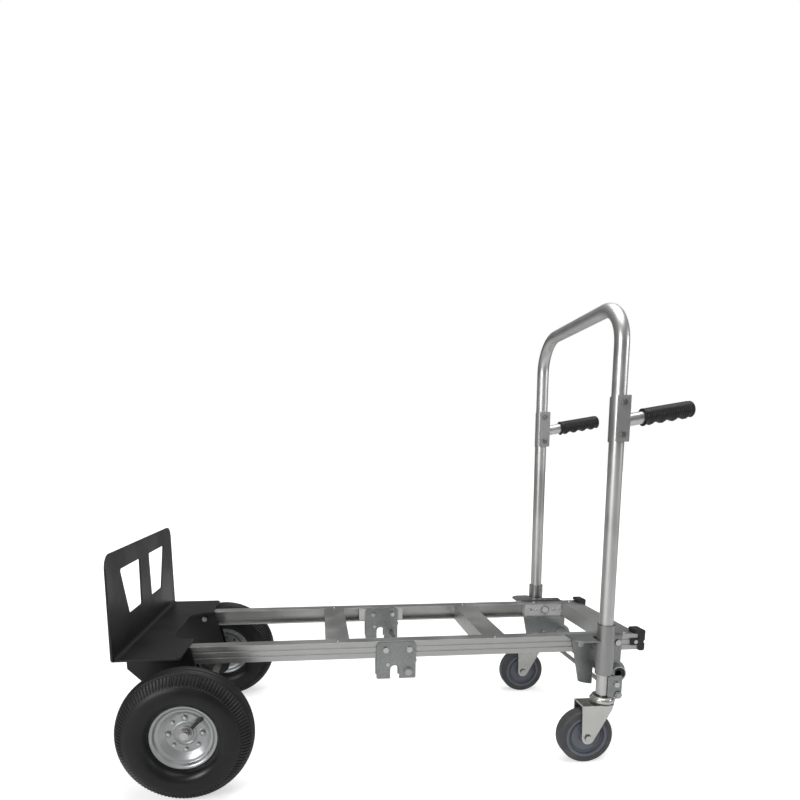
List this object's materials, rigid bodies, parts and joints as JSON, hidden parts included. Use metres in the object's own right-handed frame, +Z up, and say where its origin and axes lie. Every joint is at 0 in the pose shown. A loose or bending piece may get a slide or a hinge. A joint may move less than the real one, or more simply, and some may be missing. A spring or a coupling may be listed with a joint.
{
  "type": "convertible hand truck",
  "caption": "Convertible hand truck in cart mode: level rail frame, upright toe plate, tall loop handle with grips, air tyres and swivel casters.",
  "frame": {"origin": "on the ground, under the middle of the whole object standing as a cart", "axes": "+X from the toe plate towards the handle, +Y towards the right side seen from the handle, +Z up"},
  "size_m": [1.1386, 0.588, 0.9552],
  "materials": {
    "rail_aluminium": "satin, drawn along the rail",
    "tube_aluminium": "bright satin",
    "cast_aluminium": "rough as cast",
    "cap_plastic": "matte black",
    "plug_plastic": "matte dark grey",
    "toe_paint": "satin black powder coat",
    "bracket_paint": "satin black powder coat",
    "axle_steel": "zinc plated",
    "bracket_zinc": "zinc plated pressed sheet",
    "brace_steel": "zinc plated tube",
    "sleeve_zinc": "zinc plated tube",
    "bolt_steel": "zinc plated",
    "latch_steel": "zinc plated",
    "spring_steel": "drawn wire",
    "fork_zinc": "bright zinc plated",
    "grip_rubber": "matte black",
    "tread_rubber": "matte dark grey",
    "hub_plastic": "matte blue grey",
    "tyre_rubber": "satin black",
    "rim_zinc": "zinc plated pressed steel",
    "valve_rubber": "matte black"
  },
  "bodies": {
    "frame": {"rail_left": "rail_aluminium", "rail_right": "rail_aluminium", "cross_members": "rail_aluminium", "end_cap_left": "cap_plastic", "end_cap_right": "cap_plastic", "toe_plate": "toe_paint", "axle_bracket_left": "bracket_paint", "axle_bracket_right": "bracket_paint", "axle": "axle_steel", "axle_collars": "axle_steel", "mid_plates_left": "bracket_zinc", "mid_plates_right": "bracket_zinc", "mid_fillers": "cast_aluminium", "pivot_fillers": "cast_aluminium", "pivot_bracket_left": "bracket_zinc", "pivot_bracket_right": "bracket_zinc", "pivot_inner_plates": "bracket_zinc", "brace_tube": "brace_steel", "brace_plugs": "plug_plastic", "pivot_bolts": "bolt_steel", "toe_bolts": "bolt_steel", "mid_bolts": "bolt_steel", "bracket_bolts": "bolt_steel", "member_screws": "bolt_steel", "cap_screws": "bolt_steel"},
    "latch": {"latch_rod": "latch_steel", "latch_pedal": "latch_steel", "latch_spring": "spring_steel"},
    "sleeves": {"sleeve_left": "sleeve_zinc", "sleeve_right": "sleeve_zinc"},
    "handle": {"handle_tube": "tube_aluminium", "grip_clamp_left": "tube_aluminium", "grip_clamp_right": "tube_aluminium", "grip_left": "grip_rubber", "grip_right": "grip_rubber", "clamp_bolts": "bolt_steel", "rod_lug_left": "bracket_zinc", "rod_lug_right": "bracket_zinc", "cross_rod": "latch_steel", "lug_bolts": "bolt_steel", "swivel_races": "fork_zinc"},
    "caster_left": {"caster_fork_left": "fork_zinc", "caster_bolt_left": "bolt_steel"},
    "caster_wheel_left": {"caster_tread_left": "tread_rubber", "caster_hub_left": "hub_plastic"},
    "main_wheel_left": {"tyre_left": "tyre_rubber", "rim_left": "rim_zinc", "rim_bolts_left": "bolt_steel", "valve_left": "valve_rubber"},
    "caster_right": {"caster_fork_right": "fork_zinc", "caster_bolt_right": "bolt_steel"},
    "caster_wheel_right": {"caster_tread_right": "tread_rubber", "caster_hub_right": "hub_plastic"},
    "main_wheel_right": {"tyre_right": "tyre_rubber", "rim_right": "rim_zinc", "rim_bolts_right": "bolt_steel", "valve_right": "valve_rubber"}
  },
  "joints": [
    {"name": "handle_fold", "type": "hinge", "parent": "frame", "child": "sleeves", "pos_m": [0.42, 0, 0.249], "axis": [0, 1, 0], "range_deg": [0, 88.9]},
    {"name": "handle_slide", "type": "slide", "parent": "sleeves", "child": "handle", "axis": [0.0157, 0, -0.9999], "range_m": [0, 0.348]},
    {"name": "latch_turn", "type": "hinge", "parent": "frame", "child": "latch", "pos_m": [0.0065, 0, 0.2], "axis": [0, -1, 0], "range_deg": [0, 30], "stiffness_Nm_per_rad": 0.8, "springref_deg": -20.05},
    {"name": "caster_left_swivel", "type": "hinge", "parent": "handle", "child": "caster_left", "pos_m": [0.4215, -0.196, 0.14], "axis": [0, 0, 1], "continuous": true},
    {"name": "caster_wheel_left_spin", "type": "hinge", "parent": "caster_left", "child": "caster_wheel_left", "pos_m": [0.3855, -0.196, 0.0585], "axis": [0, 1, 0], "continuous": true},
    {"name": "main_wheel_left_spin", "type": "hinge", "parent": "frame", "child": "main_wheel_left", "pos_m": [-0.437, -0.25, 0.13], "axis": [0, 1, 0], "continuous": true},
    {"name": "caster_right_swivel", "type": "hinge", "parent": "handle", "child": "caster_right", "pos_m": [0.4215, 0.196, 0.14], "axis": [0, 0, 1], "continuous": true},
    {"name": "caster_wheel_right_spin", "type": "hinge", "parent": "caster_right", "child": "caster_wheel_right", "pos_m": [0.3855, 0.196, 0.0585], "axis": [0, 1, 0], "continuous": true},
    {"name": "main_wheel_right_spin", "type": "hinge", "parent": "frame", "child": "main_wheel_right", "pos_m": [-0.437, 0.25, 0.13], "axis": [0, 1, 0], "continuous": true}
  ]
}
